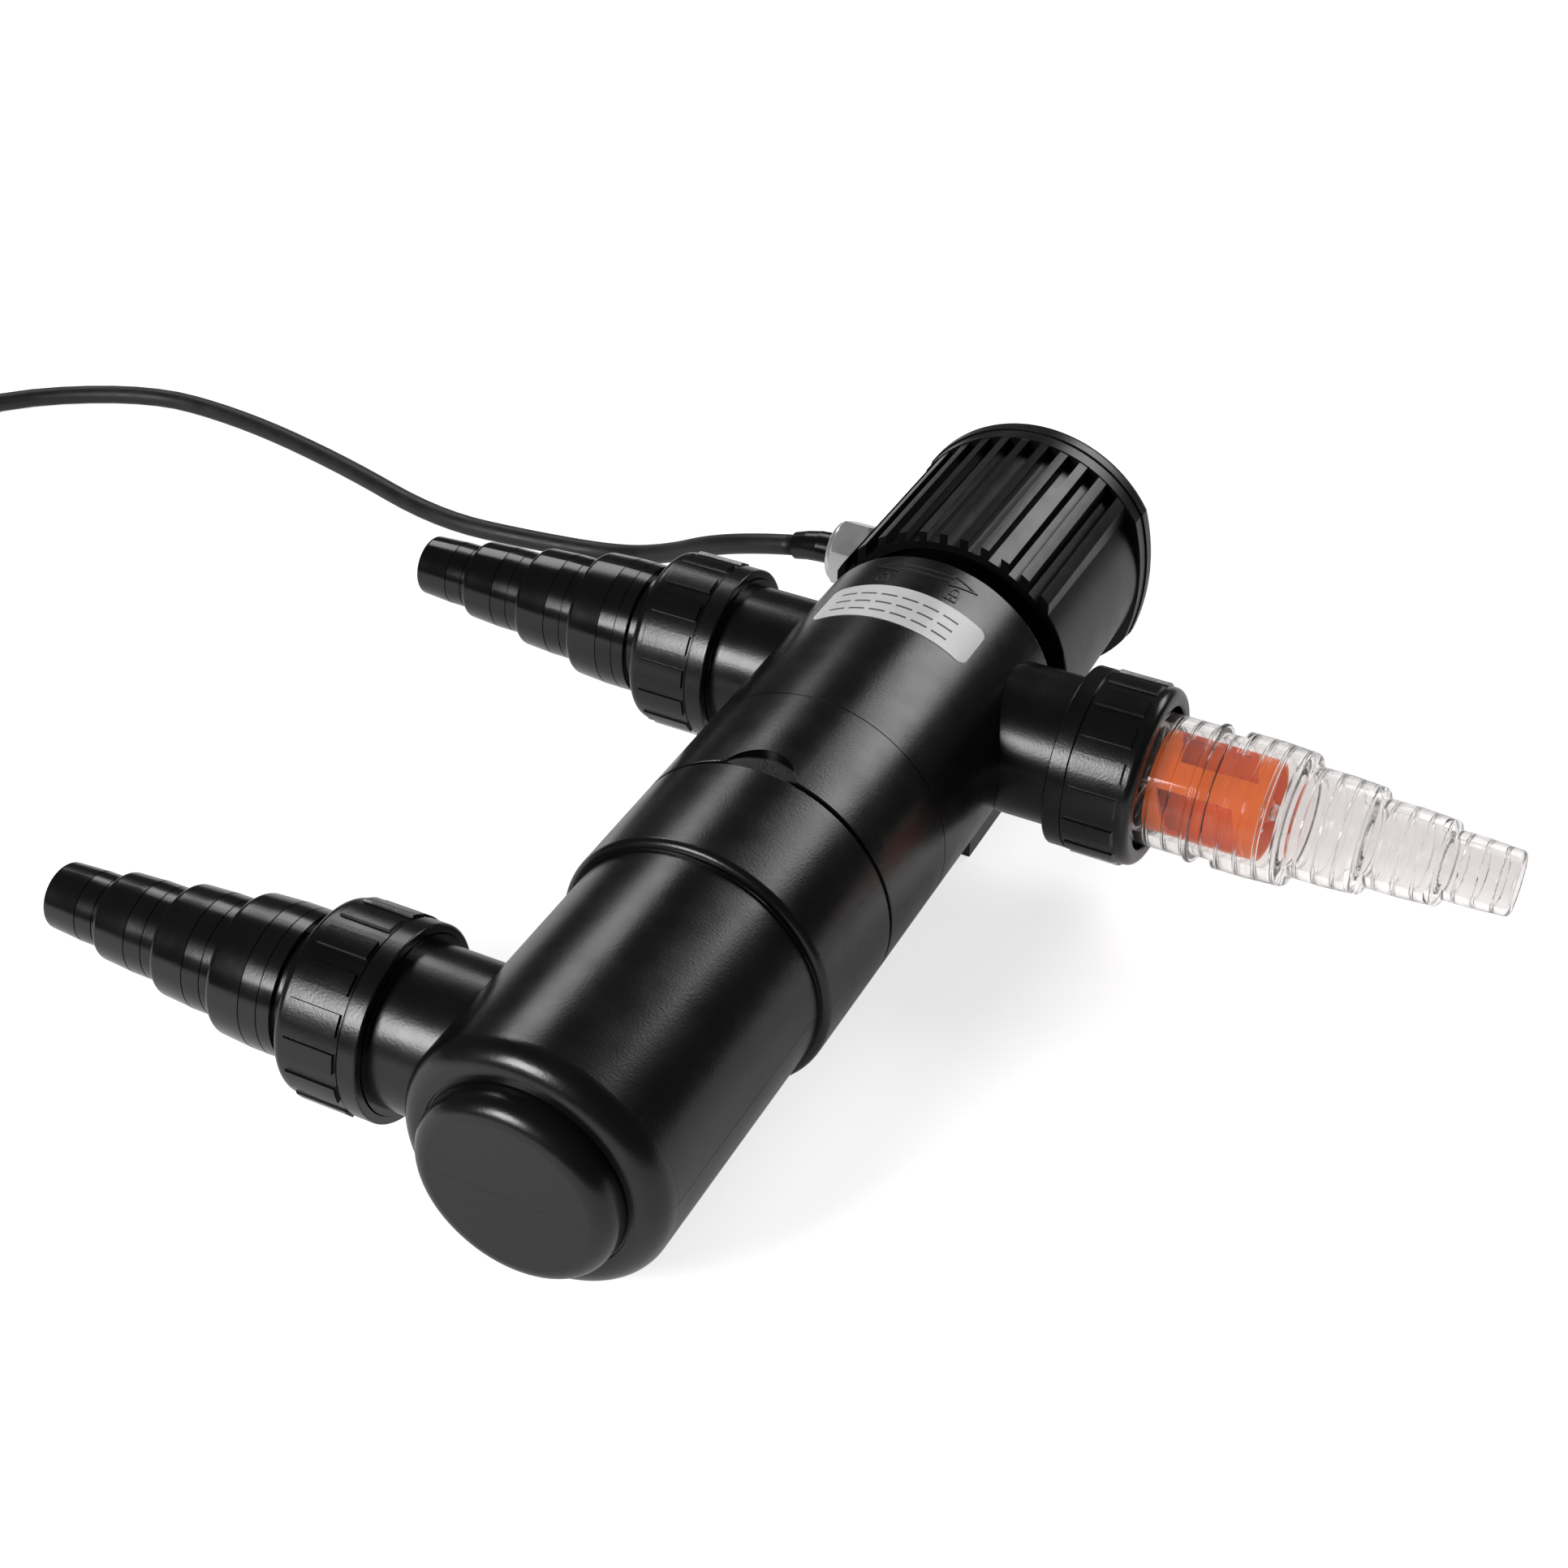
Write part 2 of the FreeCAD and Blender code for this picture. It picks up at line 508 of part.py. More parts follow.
def head_shell():
    """Ribbed lamp-and-ballast housing with its skirt, spigot, bulkhead and twist-lock lugs."""
    floor = turned([
        (SKIRT_Y, 0), (SKIRT_Y, CHANNEL_R), (RIM_Y, CHANNEL_R - 0.6), (RIM_Y, 0),
    ])
    panels = along_y(turned([
        (SKIRT_Y, 30.0), (SKIRT_Y, SKIRT_R, 0.6), (RIM_Y, SKIRT_R - 1.0), (RIM_Y, 30.0),
    ]))
    panels = panels.cut(block((-31.4, SKIRT_Y - 1, 0.0), (31.4, RIM_Y + 1, 50.0)))
    panels = panels.cut(block((-50.0, SKIRT_Y - 1, PANEL_Z), (50.0, RIM_Y + 1, 50.0)))
    body = along_y(floor).fuse(panels)
    rim = plate_outline(RIM_R, RIM_Y, COVER_Y - 0.5)
    body = body.fuse(rim)
    limit = along_y(drum(SKIRT_Y, RIM_Y + 1, RIB_R))
    ribs = []
    for i in range(RIB_COUNT):
        x = rib_x(i)
        blade = block((x - RIB_T / 2, SKIRT_Y, 10.0), (x + RIB_T / 2, RIM_Y + 1, RIB_R + 2))
        ribs.append(blade.common(limit))
    body = body.fuse(ribs)
    boss = Part.makeCylinder(12.5, 12, Vector(-39.6, GLAND_Y, 0), Vector(1, 0, 0))
    body = body.fuse(boss)
    hollow = turned([
        (SKIRT_Y - 1, 0), (SKIRT_Y - 1, SKIRT_BORE_R), (42.0, SKIRT_BORE_R), (42.0, 0),
    ])
    ballast_room = turned([
        (45.0, 0), (45.0, SKIRT_BORE_R), (COVER_Y, SKIRT_BORE_R - 0.8), (COVER_Y, 0),
    ])
    body = body.cut(along_y(hollow)).cut(along_y(ballast_room))
    spigot = turned([
        (18.0, 26.6), (18.0, NECK_BORE_R - RUN_GAP, 0.6), (29.6, NECK_BORE_R - RUN_GAP),
        (29.6, 28.0), (32.4, 28.0), (32.4, NECK_BORE_R - RUN_GAP), (42.5, NECK_BORE_R - RUN_GAP),
        (42.5, 26.6),
    ])
    body = body.fuse(along_y(spigot))
    body = body.cut(block((-12.0, 40.0, -5.0), (12.0, 46.0, 5.0)))
    for i in range(LUG_COUNT):
        lug = sector(SKIRT_Y + 0.2, 33.0, SKIRT_BORE_R + 0.6, NECK_R + RUN_GAP, lug_angle(i), LUG_DEG)
        body = body.fuse(lug)
    plunger_hole = Part.makeCylinder(1.7, 6, Vector(0, 40, SWITCH_R), Vector(0, 1, 0))
    plunger_hole.rotate(Vector(0, 0, 0), Vector(0, 1, 0), SWITCH_DEG)
    cord_hole = Part.makeCylinder(8.4, 14, Vector(-41, GLAND_Y, 0), Vector(1, 0, 0))
    body = body.cut(plunger_hole).cut(cord_hole)
    for x, z in cover_screw_places():
        post = Part.makeCylinder(3.4, 18, Vector(x, 78.0, z), Vector(0, 1, 0))
        post = post.common(along_y(drum(70, 97.3, SKIRT_BORE_R + 0.6)))
        body = body.fuse(post)
    for x, z in cover_screw_places():
        body = body.cut(Part.makeCylinder(1.5, 20, Vector(x, 80.0, z), Vector(0, 1, 0)))
    return body.removeSplitter()


def cover_screw_places():
    """The four cover screws, near the corners of the end cover."""
    return [(sx * 25.0, sz * 20.5) for sx in (-1, 1) for sz in (-1, 1)]


def head_cover():
    """End cover of the head, with a bevelled edge, a raised panel and four screw recesses."""
    flange = plate_outline(COVER_R, COVER_Y, END_Y)
    outer_edges = [e for e in flange.Edges if abs(e.CenterOfMass.y - END_Y) < 0.01]
    flange = flange.makeFillet(3.2, outer_edges)
    lip = along_y(tube(COVER_Y - 4.0, COVER_Y + 0.5, 34.6, 32.6))
    cover = flange.fuse(lip)
    for x, z in cover_screw_places():
        cover = cover.cut(Part.makeCylinder(3.6, 5, Vector(x, END_Y - 3.0, z), Vector(0, 1, 0)))
        cover = cover.cut(Part.makeCylinder(1.9, 12, Vector(x, COVER_Y - 5, z), Vector(0, 1, 0)))
        cover = cover.cut(Part.makeCylinder(3.8, 5, Vector(x, COVER_Y - 5.0, z), Vector(0, 1, 0)))
    return cover.removeSplitter()


def head():
    """Head shell, cover, gasket and screws, with the ballast inside."""
    add("head_shell", head_shell())
    add("end_cover", head_cover())
    gasket = plate_outline(RIM_R - 0.8, COVER_Y - 0.5 + FIT_GAP / 2, COVER_Y - FIT_GAP / 2)
    gasket = gasket.cut(along_y(drum(COVER_Y - 2, COVER_Y + 2, 35.4)))
    for x, z in cover_screw_places():
        gasket = gasket.cut(Part.makeCylinder(2.2, 4, Vector(x, COVER_Y - 2, z), Vector(0, 1, 0)))
    add("cover_gasket", gasket)
    screws = []
    for x, z in cover_screw_places():
        screw = turned([
            (82.0, 0), (82.0, 1.45), (END_Y - 3.0, 1.45), (END_Y - 3.0, 3.2), (END_Y - 1.0, 3.2, 0.6),
            (END_Y - 1.0, 0),
        ])
        for turn in (0, 90):
            slot = block((-2.0, -0.4, END_Y - 2.2), (2.0, 0.4, END_Y))
            slot.rotate(Vector(0, 0, 0), Vector(0, 0, 1), turn)
            screw = screw.cut(slot)
        screw = along_y(screw)
        screw.translate(Vector(x, 0, z))
        screws.append(screw)
    add("cover_screws", Part.makeCompound(screws))


def ballast():
    """Ballast board with its choke and capacitor, and the safety switch with its plunger."""
    add("ballast_board", block((-20.0, 50.0, -13.6), (20.0, 90.0, -12.0)))
    add("ballast_choke", block((-16.0, 54.0, -11.9), (-1.0, 72.0, 3.0)))
    add("ballast_capacitor", Part.makeCylinder(6.0, 16, Vector(9.0, 72.0, -5.8), Vector(0, 1, 0)))
    switch = block((-6.0, 45.1, 24.4), (6.0, 51.0, 34.2))
    bore = Part.makeCylinder(1.7, 10, Vector(0, 44, SWITCH_R), Vector(0, 1, 0))
    plunger = turned([(36.9, 0), (36.9, 1.25, 0.5), (48.0, 1.25), (48.0, 0)])
    plunger = along_y(plunger)
    plunger.translate(Vector(0, 0, SWITCH_R))
    for name, piece in (("safety_switch", switch.cut(bore)), ("switch_plunger", plunger)):
        piece.rotate(Vector(0, 0, 0), Vector(0, 1, 0), SWITCH_DEG)
        add(name, piece)


# --- cable gland, lead and plug -------------------------------------------------------------
def hexagon(start, end, across_flats):
    """A hexagonal prism about +Z, with one flat pair upright once it lies on the -X side."""
    radius = across_flats / math.sqrt(3)
    corners = [Vector(radius * math.cos(math.radians(60 * i)), radius * math.sin(math.radians(60 * i)),
                      start) for i in range(6)]
    face = Part.Face(Part.makePolygon(corners + corners[:1]))
    return face.extrude(Vector(0, 0, end - start))


def gland():
    """Cable gland: threaded body with its locknut, chromed dome nut, seal and tapered sleeve."""
    body = fused(hexagon(39.7, 42.6, 19.0), drum(29.0, 49.0, 7.9))
    body = body.cut(drum(28.0, 50.0, 5.3))
    nut = hexagon(43.0, 53.0, 20.0).common(turned([
        (43.0, 0), (43.0, 10.6, 0.0), (43.9, 11.6), (52.0, 11.6), (53.0, 10.6), (53.0, 0)]))
    dome = turned([(52.5, 0), (52.5, 10.0), (55.4, 10.0, 2.6), (55.4, 0)])
    nut = fused(nut, dome).cut(drum(42.0, 50.0, 8.25)).cut(drum(42.0, 57.0, 5.45))
    locknut = hexagon(30.4, 33.6, 19.0).common(drum(30.4, 33.6, 10.4)).cut(drum(30, 34, 7.95))
    for name, piece in (("gland_body", body), ("gland_nut", nut), ("gland_locknut", locknut)):
        add(name, on_port(piece, -1, GLAND_Y))
    add("cord_sleeve", cord_sleeve())


def cord_sleeve():
    """Rubber sleeve on the lead: straight through the gland, then tapering and drooping."""
    rings = []
    for x, drop, radius, tilt, y in SLEEVE_RINGS:
        ring = Part.Wire(Part.Circle(Vector(0, 0, 0), Vector(1, 0, 0), radius).toShape())
        ring.rotate(Vector(0, 0, 0), Vector(0, 1, 0), -tilt)
        ring.translate(Vector(x, y, drop))
        rings.append(ring)
    return Part.makeLoft(rings, True, True)


def cord_tube(points, radius):
    """A tube along straight runs joined by tangent arcs, with the arc radii and the length."""
    corners = []
    radii = []
    for i, point in enumerate(points):
        if i in (0, len(points) - 1):
            corners.append((Vector(*point), 0.0))
            continue
        last, here, following = (Vector(*points[i + k]) for k in (-1, 0, 1))
        turn = math.pi - (last - here).getAngle(following - here)
        shorter = min((last - here).Length, (following - here).Length)
        radii.append(0.45 * shorter / math.tan(turn / 2))
        corners.append((here, radii[-1]))
    path = rounded_wire(corners, closed=False)
    start, direction = Vector(*points[0]), Vector(*points[1]) - Vector(*points[0])
    section = Part.Wire(Part.Circle(start, direction, radius).toShape())
    solid = path.makePipeShell([section], True, False)
    print("cord arc radii", [round(r, 1) for r in radii], "length", round(path.Length, 1),
          "volume error", round(abs(solid.Volume) / (math.pi * radius ** 2 * path.Length) - 1, 5))
    return solid


def coil_centre():
    """Centre of the coil on the floor: its outermost turn carries on from the end of the route."""
    last, end = Vector(*CORD_ROUTE[-2]), Vector(*CORD_ROUTE[-1])
    heading = (end - last).normalize()
    left = Vector(-heading.y, heading.x, 0)
    centre = end + left * COIL_TURN_R[-1]
    return Vector(centre.x, centre.y, -AXIS_Z)


def from_coil(shape):
    """Moves a shape drawn about the coil's centre and exit direction to its place."""
    shape = shape.copy()
    shape.rotate(Vector(0, 0, 0), Vector(0, 0, 1), COIL_EXIT_DEG)
    shape.translate(coil_centre())
    return shape


def lead():
    """The mains lead: its free stretch, the neat coil of its spare length, and the plug."""
    add("power_cord", cord_tube(CORD_ROUTE, CORD_R))
    add("plug_cord", from_coil(cord_tube(PLUG_ROUTE, CORD_R)))
    height = COIL_LAYERS * 2 * CORD_R
    ring = tube(0, height, COIL_TURN_R[-1] + CORD_R, COIL_TURN_R[0] - CORD_R)
    add("power_cord_coil", from_coil(ring))
    turns = sum(2 * math.pi * r for r in COIL_TURN_R) * COIL_LAYERS
    print("length of the coiled part", round(turns))
    last, end = Vector(*PLUG_ROUTE[-2]), Vector(*PLUG_ROUTE[-1])
    heading = math.degrees(math.atan2(end.y - last.y, end.x - last.x))
    for name, piece in zip(("plug_body", "plug_pins"), plug()):
        piece.rotate(Vector(0, 0, 0), Vector(0, 0, 1), heading)
        piece.translate(Vector(end.x, end.y, 0))
        add(name, from_coil(piece))


def plug():
    """A moulded two-pin plug lying flat and pointing along +X, from the end of its tapered tail."""
    height = PLUG_THICK / 2
    front = PLUG_TAIL + PLUG_LONG
    body = block((PLUG_TAIL, -PLUG_WIDE / 2, 0), (front, PLUG_WIDE / 2, PLUG_THICK))
    upright = [e for e in body.Edges if abs(e.tangentAt(e.FirstParameter).z) > 0.99]
    body = body.makeFillet(6.0, upright)
    rims = [e for e in body.Edges if min(e.BoundBox.ZMax, PLUG_THICK - e.BoundBox.ZMin) < 0.01]
    body = body.makeFillet(2.5, rims)
    tail = Part.makeCone(CORD_R + 1.1, 7.6, PLUG_TAIL + 3, Vector(0, 0, height), Vector(1, 0, 0))
    pins = []
    for sign in (-1, 1):
        pin = Part.makeCylinder(2.4, 19.0, Vector(front, sign * 9.5, height), Vector(1, 0, 0))
        pins.append(pin)
    return fused(body, tail), Part.makeCompound(pins)


# --- assembly -------------------------------------------------------------------------------
def build():
    """Draws every piece and writes one file for each."""
    housing_end()
    lower_housing()
    upper_housing()
    housing_ports()
    feet()
    sleeve_cradle()
    lock_neck()
    ports()
    flow_indicator()
    lamp_and_sleeve()
    seals()
    label()
    head()
    ballast()
    gland()
    lead()
    os.makedirs("parts", exist_ok=True)
    for name, shape in made.items():
        shape = shape.copy()
        shape.translate(Vector(0, 0, AXIS_Z))
        box = shape.BoundBox
        print(f"{name:20s} solids {len(shape.Solids)} valid {shape.isValid()} "
              f"volume {shape.Volume / 1000:.2f} cm3 "
              f"x {box.XMin:.1f}..{box.XMax:.1f} y {box.YMin:.1f}..{box.YMax:.1f} "
              f"z {box.ZMin:.1f}..{box.ZMax:.1f}")
        shape.exportStep(f"parts/{name}.step")


build()
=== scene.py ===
"""Pond UV clarifier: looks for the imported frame. Lengths are in metres unless a name says mm."""
import math

import bmesh
import bpy
from mathutils import Matrix, Vector


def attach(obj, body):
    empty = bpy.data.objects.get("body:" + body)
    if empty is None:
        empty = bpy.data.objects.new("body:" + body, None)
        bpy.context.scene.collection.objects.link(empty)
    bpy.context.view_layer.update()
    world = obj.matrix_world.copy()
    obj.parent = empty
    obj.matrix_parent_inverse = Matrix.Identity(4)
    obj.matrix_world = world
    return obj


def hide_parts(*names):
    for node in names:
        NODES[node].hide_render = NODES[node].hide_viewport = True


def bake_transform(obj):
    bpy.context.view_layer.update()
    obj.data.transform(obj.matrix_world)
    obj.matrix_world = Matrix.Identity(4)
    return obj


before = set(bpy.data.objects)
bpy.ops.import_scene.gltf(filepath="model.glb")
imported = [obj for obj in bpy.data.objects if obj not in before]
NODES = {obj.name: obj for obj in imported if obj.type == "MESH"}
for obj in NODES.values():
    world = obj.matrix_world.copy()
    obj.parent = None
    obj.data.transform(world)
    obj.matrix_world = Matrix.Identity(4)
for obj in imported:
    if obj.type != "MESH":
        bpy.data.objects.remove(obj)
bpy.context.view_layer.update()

MM = 0.001
AXIS_Z = 42.2 * MM       # height of the housing axis
UPPER_R_MM, LOWER_R_MM = 39.3, 36.7      # the housing's two outside radii
FACE_Y_MM = -223.0       # its closed end

# Plain marks, in mm: equal dashes on the label, and a double arrow moulded by the neck.
DASH_ROWS_Y = (-4.0, -8.3, -12.6)
DASH_COUNT, DASH_START, DASH_LONG, DASH_GAP = 6, -20.0, 5.0, 1.5
DASH_WIDE, DASH_HALF_HIGH = 0.75, 0.02
LABEL_R_MM = UPPER_R_MM + 0.25
ARROW_Y, ARROW_TIP, ARROW_NECK = 12.2, 16.0, 8.0       # its middle line, tips and head bases
ARROW_HEAD_HALF, ARROW_SHAFT_HALF = 2.4, 1.2
PADLOCK_X, SHACKLE_R, OPEN_LIFT = 11.0, 1.1, 1.1       # the padlocks' places and shackles
MARK_LOW_MM, MARK_HIGH_MM = UPPER_R_MM - 0.1, UPPER_R_MM + 0.24

# Mould parting lines: their width and height, and where they run.
PARTING_WIDTH_MM, PARTING_HEIGHT_MM = 0.12, 0.04
PARTING_FACE_MM = 21.8                     # half their length across the closed end
PARTING_SIDES_MM = ((-1, -160.0, -133.0), (1, -207.0, -133.0))      # side, start and end

# --- camera ---------------------------------------------------------------------------------
CAMERA_YAW, CAMERA_PITCH, CAMERA_ROLL = 26.551, 37.471, 0.470       # degrees
CAMERA_PLACE = Vector((0.243326, -0.566382, 0.441471 + AXIS_Z))
CAMERA_ANGLE = math.radians(34.0)

# --- lights: name, place, size and power in watts ---------------------------------------------
LIGHT_TARGET = (0.0, -0.05, 0.04)
SURROUND_STRENGTH = 0.06                   # what the gloss reflects from beyond the floor
LIGHTS = [
    ("back_box", (0.37, 1.0, 0.80), (0.75, 0.42), 5.5),
    ("left_box", (-0.85, 0.75, 0.95), (0.55, 0.45), 3.2),
    ("front_box", (-0.42, -1.05, 0.62), (0.42, 0.42), 10.0),
]
FLOOR_PAINTED_FALLOFF = (0.45, 1.1)                  # from the middle of the floor's painted pool of light to its painted dim edge
FLOOR_WHITE, FLOOR_PAINTED_SHADE = 0.9, 0.12         # its white in the middle, and the painted shade it fades to at that edge
FLOOR_PAINTED_GLOW, FLOOR_SEEN_GLOW = 0.2, 0.75    # its painted glow in the middle, and its even glow where it is seen plainly

# --- mains lead -----------------------------------------------------------------------------
CORD_R = 3.4 * MM
CORD_FINENESS = 6                          # line points for each stretch of the route
CORD_SIDES = 16
CORD_ROUTE_MM = [
    (-69.5, 67.2, 39.6),
    (-81.0, 67.4, 37.0),
    (-103.0, 70.0, 28.6),
    (-122.0, 77.0, 15.6),
    (-146.0, 84.8, 3.4),
    (-178.0, 79.0, 3.4),
    (-216.0, 75.5, 3.4),
    (-268.0, 92.0, 3.4),
    (-322.0, 103.0, 3.4),
    (-367.0, 102.5, 3.4),
    (-420.0, 66.0, 3.4),
    (-452.0, -20.0, 3.4),
    (-455.0, -86.0, 3.4),
]
COIL_TURN_R_MM = (47.0, 40.2, 33.4)        # from the outside in
COIL_LAYERS = 6
COIL_EXIT_DEG = -70.0
COIL_STEPS = 16                            # points in each turn
COIL_SHIFT = 0.08                          # part of a turn in which the cord moves over
PLUG_ROUTE_MM = [
    (27.0, -47.0, 37.0),
    (54.0, -46.0, 22.0),
    (80.0, -42.0, 8.5),
    (104.0, -37.0, 8.5),
]


# --- small helpers --------------------------------------------------------------------------
def mesh_object(name, bm, body=None, smooth=True):
    """A mesh piece from a bmesh, riding on a body."""
    mesh = bpy.data.meshes.new(name)
    bm.to_mesh(mesh)
    bm.free()
    for polygon in mesh.polygons:
        polygon.use_smooth = smooth
    piece = bpy.data.objects.new(name, mesh)
    bpy.context.scene.collection.objects.link(piece)
    if body:
        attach(piece, body)
    return piece


def paint(piece, material):
    """Puts one material on the whole piece."""
    for slot in piece.material_slots:
        slot.material = material
    if not piece.material_slots:
        piece.data.materials.append(material)


def blank_material(name):
    """A node material with its tree, principled shader and output."""
    material = bpy.data.materials.new(name)
    material.use_nodes = True
    tree = material.node_tree
    shader = next(node for node in tree.nodes if node.type == "BSDF_PRINCIPLED")
    return material, tree, shader


def noise(tree, scale, detail=4.0, stretch=(1.0, 1.0, 1.0)):
    """Noise in object coordinates, in metres, stretched along an axis if asked."""
    place = tree.nodes.new("ShaderNodeTexCoord")
    scaling = tree.nodes.new("ShaderNodeMapping")
    scaling.inputs["Scale"].default_value = stretch
    texture = tree.nodes.new("ShaderNodeTexNoise")
    texture.inputs["Scale"].default_value = scale
    texture.inputs["Detail"].default_value = detail
    tree.links.new(place.outputs["Object"], scaling.inputs["Vector"])
    tree.links.new(scaling.outputs["Vector"], texture.inputs["Vector"])
    return texture.outputs["Fac"]


def ramp(tree, source, low, high, out_low, out_high):
    """Maps a value from one range to another."""
    node = tree.nodes.new("ShaderNodeMapRange")
    node.inputs["From Min"].default_value = low
    node.inputs["From Max"].default_value = high
    node.inputs["To Min"].default_value = out_low
    node.inputs["To Max"].default_value = out_high
    tree.links.new(source, node.inputs["Value"])
    return node.outputs["Result"]


def blend_colours(tree, factor, first, second):
    """Mixes two colours by a value."""
    node = tree.nodes.new("ShaderNodeMix")
    node.data_type = "RGBA"
    node.inputs["A"].default_value = (*first, 1)
    node.inputs["B"].default_value = (*second, 1)
    tree.links.new(factor, node.inputs["Factor"])
    return node.outputs["Result"]


def bumps(tree, shader, *layers):
    """Chains bump layers of (height, distance in metres, strength) into the shader's normal."""
    normal = None
    for height, distance, strength in layers:
        node = tree.nodes.new("ShaderNodeBump")
        node.inputs["Distance"].default_value = distance
        node.inputs["Strength"].default_value = strength
        tree.links.new(height, node.inputs["Height"])
        if normal is not None:
            tree.links.new(normal, node.inputs["Normal"])
        normal = node.outputs["Normal"]
    tree.links.new(normal, shader.inputs["Normal"])


# --- materials ------------------------------------------------------------------------------
def black_plastic(name, tint, rough, grain, dust=0.5):
    """Moulded black ABS: fine grain, faint swirls of colour, handling marks and light dust."""
    material, tree, shader = blank_material(name)
    cloud = noise(tree, 28.0, 6.0)
    marks = noise(tree, 95.0, 8.0)
    speck = noise(tree, 1400.0, 2.0)
    light = tuple(value * 2.2 + 0.002 for value in tint)
    base = blend_colours(tree, ramp(tree, cloud, 0.35, 0.75, 0.0, dust), tint, light)
    tree.links.new(base, shader.inputs["Base Color"])
    worn = ramp(tree, marks, 0.3, 0.75, rough - 0.03, rough + 0.05)
    tree.links.new(worn, shader.inputs["Roughness"])
    shader.inputs["Specular IOR Level"].default_value = 0.5
    shader.inputs["IOR"].default_value = 1.5
    bumps(tree, shader, (speck, 0.00012, grain), (marks, 0.0002, grain * 0.3))
    return material


def clear_plastic(name, tint, rough=0.03, grain=0.06, clarity=1.0, bend=1.45, ring_pitch=0.0):
    """Clear moulded plastic with faint flow ripples, milky at a lower clarity, ringed if asked."""
    material, tree, shader = blank_material(name)
    ripple = noise(tree, 60.0, 3.0, (0.3, 1.0, 1.0))
    shader.inputs["Base Color"].default_value = (*tint, 1)
    shader.inputs["Transmission Weight"].default_value = clarity
    shader.inputs["IOR"].default_value = bend
    tree.links.new(ramp(tree, ripple, 0.3, 0.7, rough, rough + 0.06), shader.inputs["Roughness"])
    layers = [(ripple, 0.0006, grain)]
    if ring_pitch:
        place = tree.nodes.new("ShaderNodeTexCoord")
        wave = tree.nodes.new("ShaderNodeTexWave")
        wave.bands_direction = "X"
        wave.inputs["Scale"].default_value = 2 * math.pi / (20 * ring_pitch)
        tree.links.new(place.outputs["Object"], wave.inputs["Vector"])
        layers.append((ramp(tree, wave.outputs["Fac"], 0.94, 1.0, 0.0, 1.0), 0.0003, 0.8))
    bumps(tree, shader, *layers)
    return material


def orange_plastic():
    """Glossy translucent orange with slight colour variation."""
    material, tree, shader = blank_material("orange_plastic")
    cloud = noise(tree, 60.0, 4.0)
    colour = blend_colours(tree, cloud, (0.96, 0.135, 0.003), (0.99, 0.19, 0.005))
    tree.links.new(colour, shader.inputs["Base Color"])
    shader.inputs["Roughness"].default_value = 0.30
    shader.inputs["Specular IOR Level"].default_value = 0.03
    shader.inputs["Subsurface Weight"].default_value = 0.15
    shader.inputs["Subsurface Scale"].default_value = 0.002
    shader.inputs["Subsurface Radius"].default_value = (1.0, 0.3, 0.1)
    bumps(tree, shader, (noise(tree, 900.0, 2.0), 0.0001, 0.1))
    return material


def plated_metal(name, tint, rough, brush, metallic=1.0):
    """Nickel or chrome plate, faintly brushed, with slightly uneven polish."""
    material, tree, shader = blank_material(name)
    streaks = noise(tree, 700.0, 3.0, (0.05, 1.0, 1.0))
    cloud = noise(tree, 120.0, 5.0)
    shader.inputs["Metallic"].default_value = metallic
    base = blend_colours(tree, cloud, tuple(value * 0.85 for value in tint), tint)
    tree.links.new(base, shader.inputs["Base Color"])
    tree.links.new(ramp(tree, cloud, 0.3, 0.7, rough, rough + 0.1), shader.inputs["Roughness"])
    bumps(tree, shader, (streaks, 0.0001, brush))
    return material


def rubber(name, tint, rough, grain_scale=1800.0):
    """Matt black rubber with a fine talc-like sheen."""
    material, tree, shader = blank_material(name)
    cloud = noise(tree, 140.0, 6.0)
    base = blend_colours(tree, ramp(tree, cloud, 0.4, 0.8, 0.0, 0.7), tint,
                         tuple(value * 2.0 + 0.01 for value in tint))
    tree.links.new(base, shader.inputs["Base Color"])
    tree.links.new(ramp(tree, cloud, 0.3, 0.7, rough, rough + 0.12), shader.inputs["Roughness"])
    shader.inputs["Sheen Weight"].default_value = 0.08
    bumps(tree, shader, (noise(tree, grain_scale, 2.0), 0.0001, 0.25))
    return material


def plain_plastic(name, tint, rough):
    """Plain moulded plastic for the hidden and small pieces."""
    material, tree, shader = blank_material(name)
    cloud = noise(tree, 90.0, 4.0)
    base = blend_colours(tree, cloud, tuple(value * 0.9 for value in tint), tint)
    tree.links.new(base, shader.inputs["Base Color"])
    tree.links.new(ramp(tree, cloud, 0.3, 0.7, rough, rough + 0.08), shader.inputs["Roughness"])
    bumps(tree, shader, (noise(tree, 1200.0, 2.0), 0.0001, 0.1))
    return material


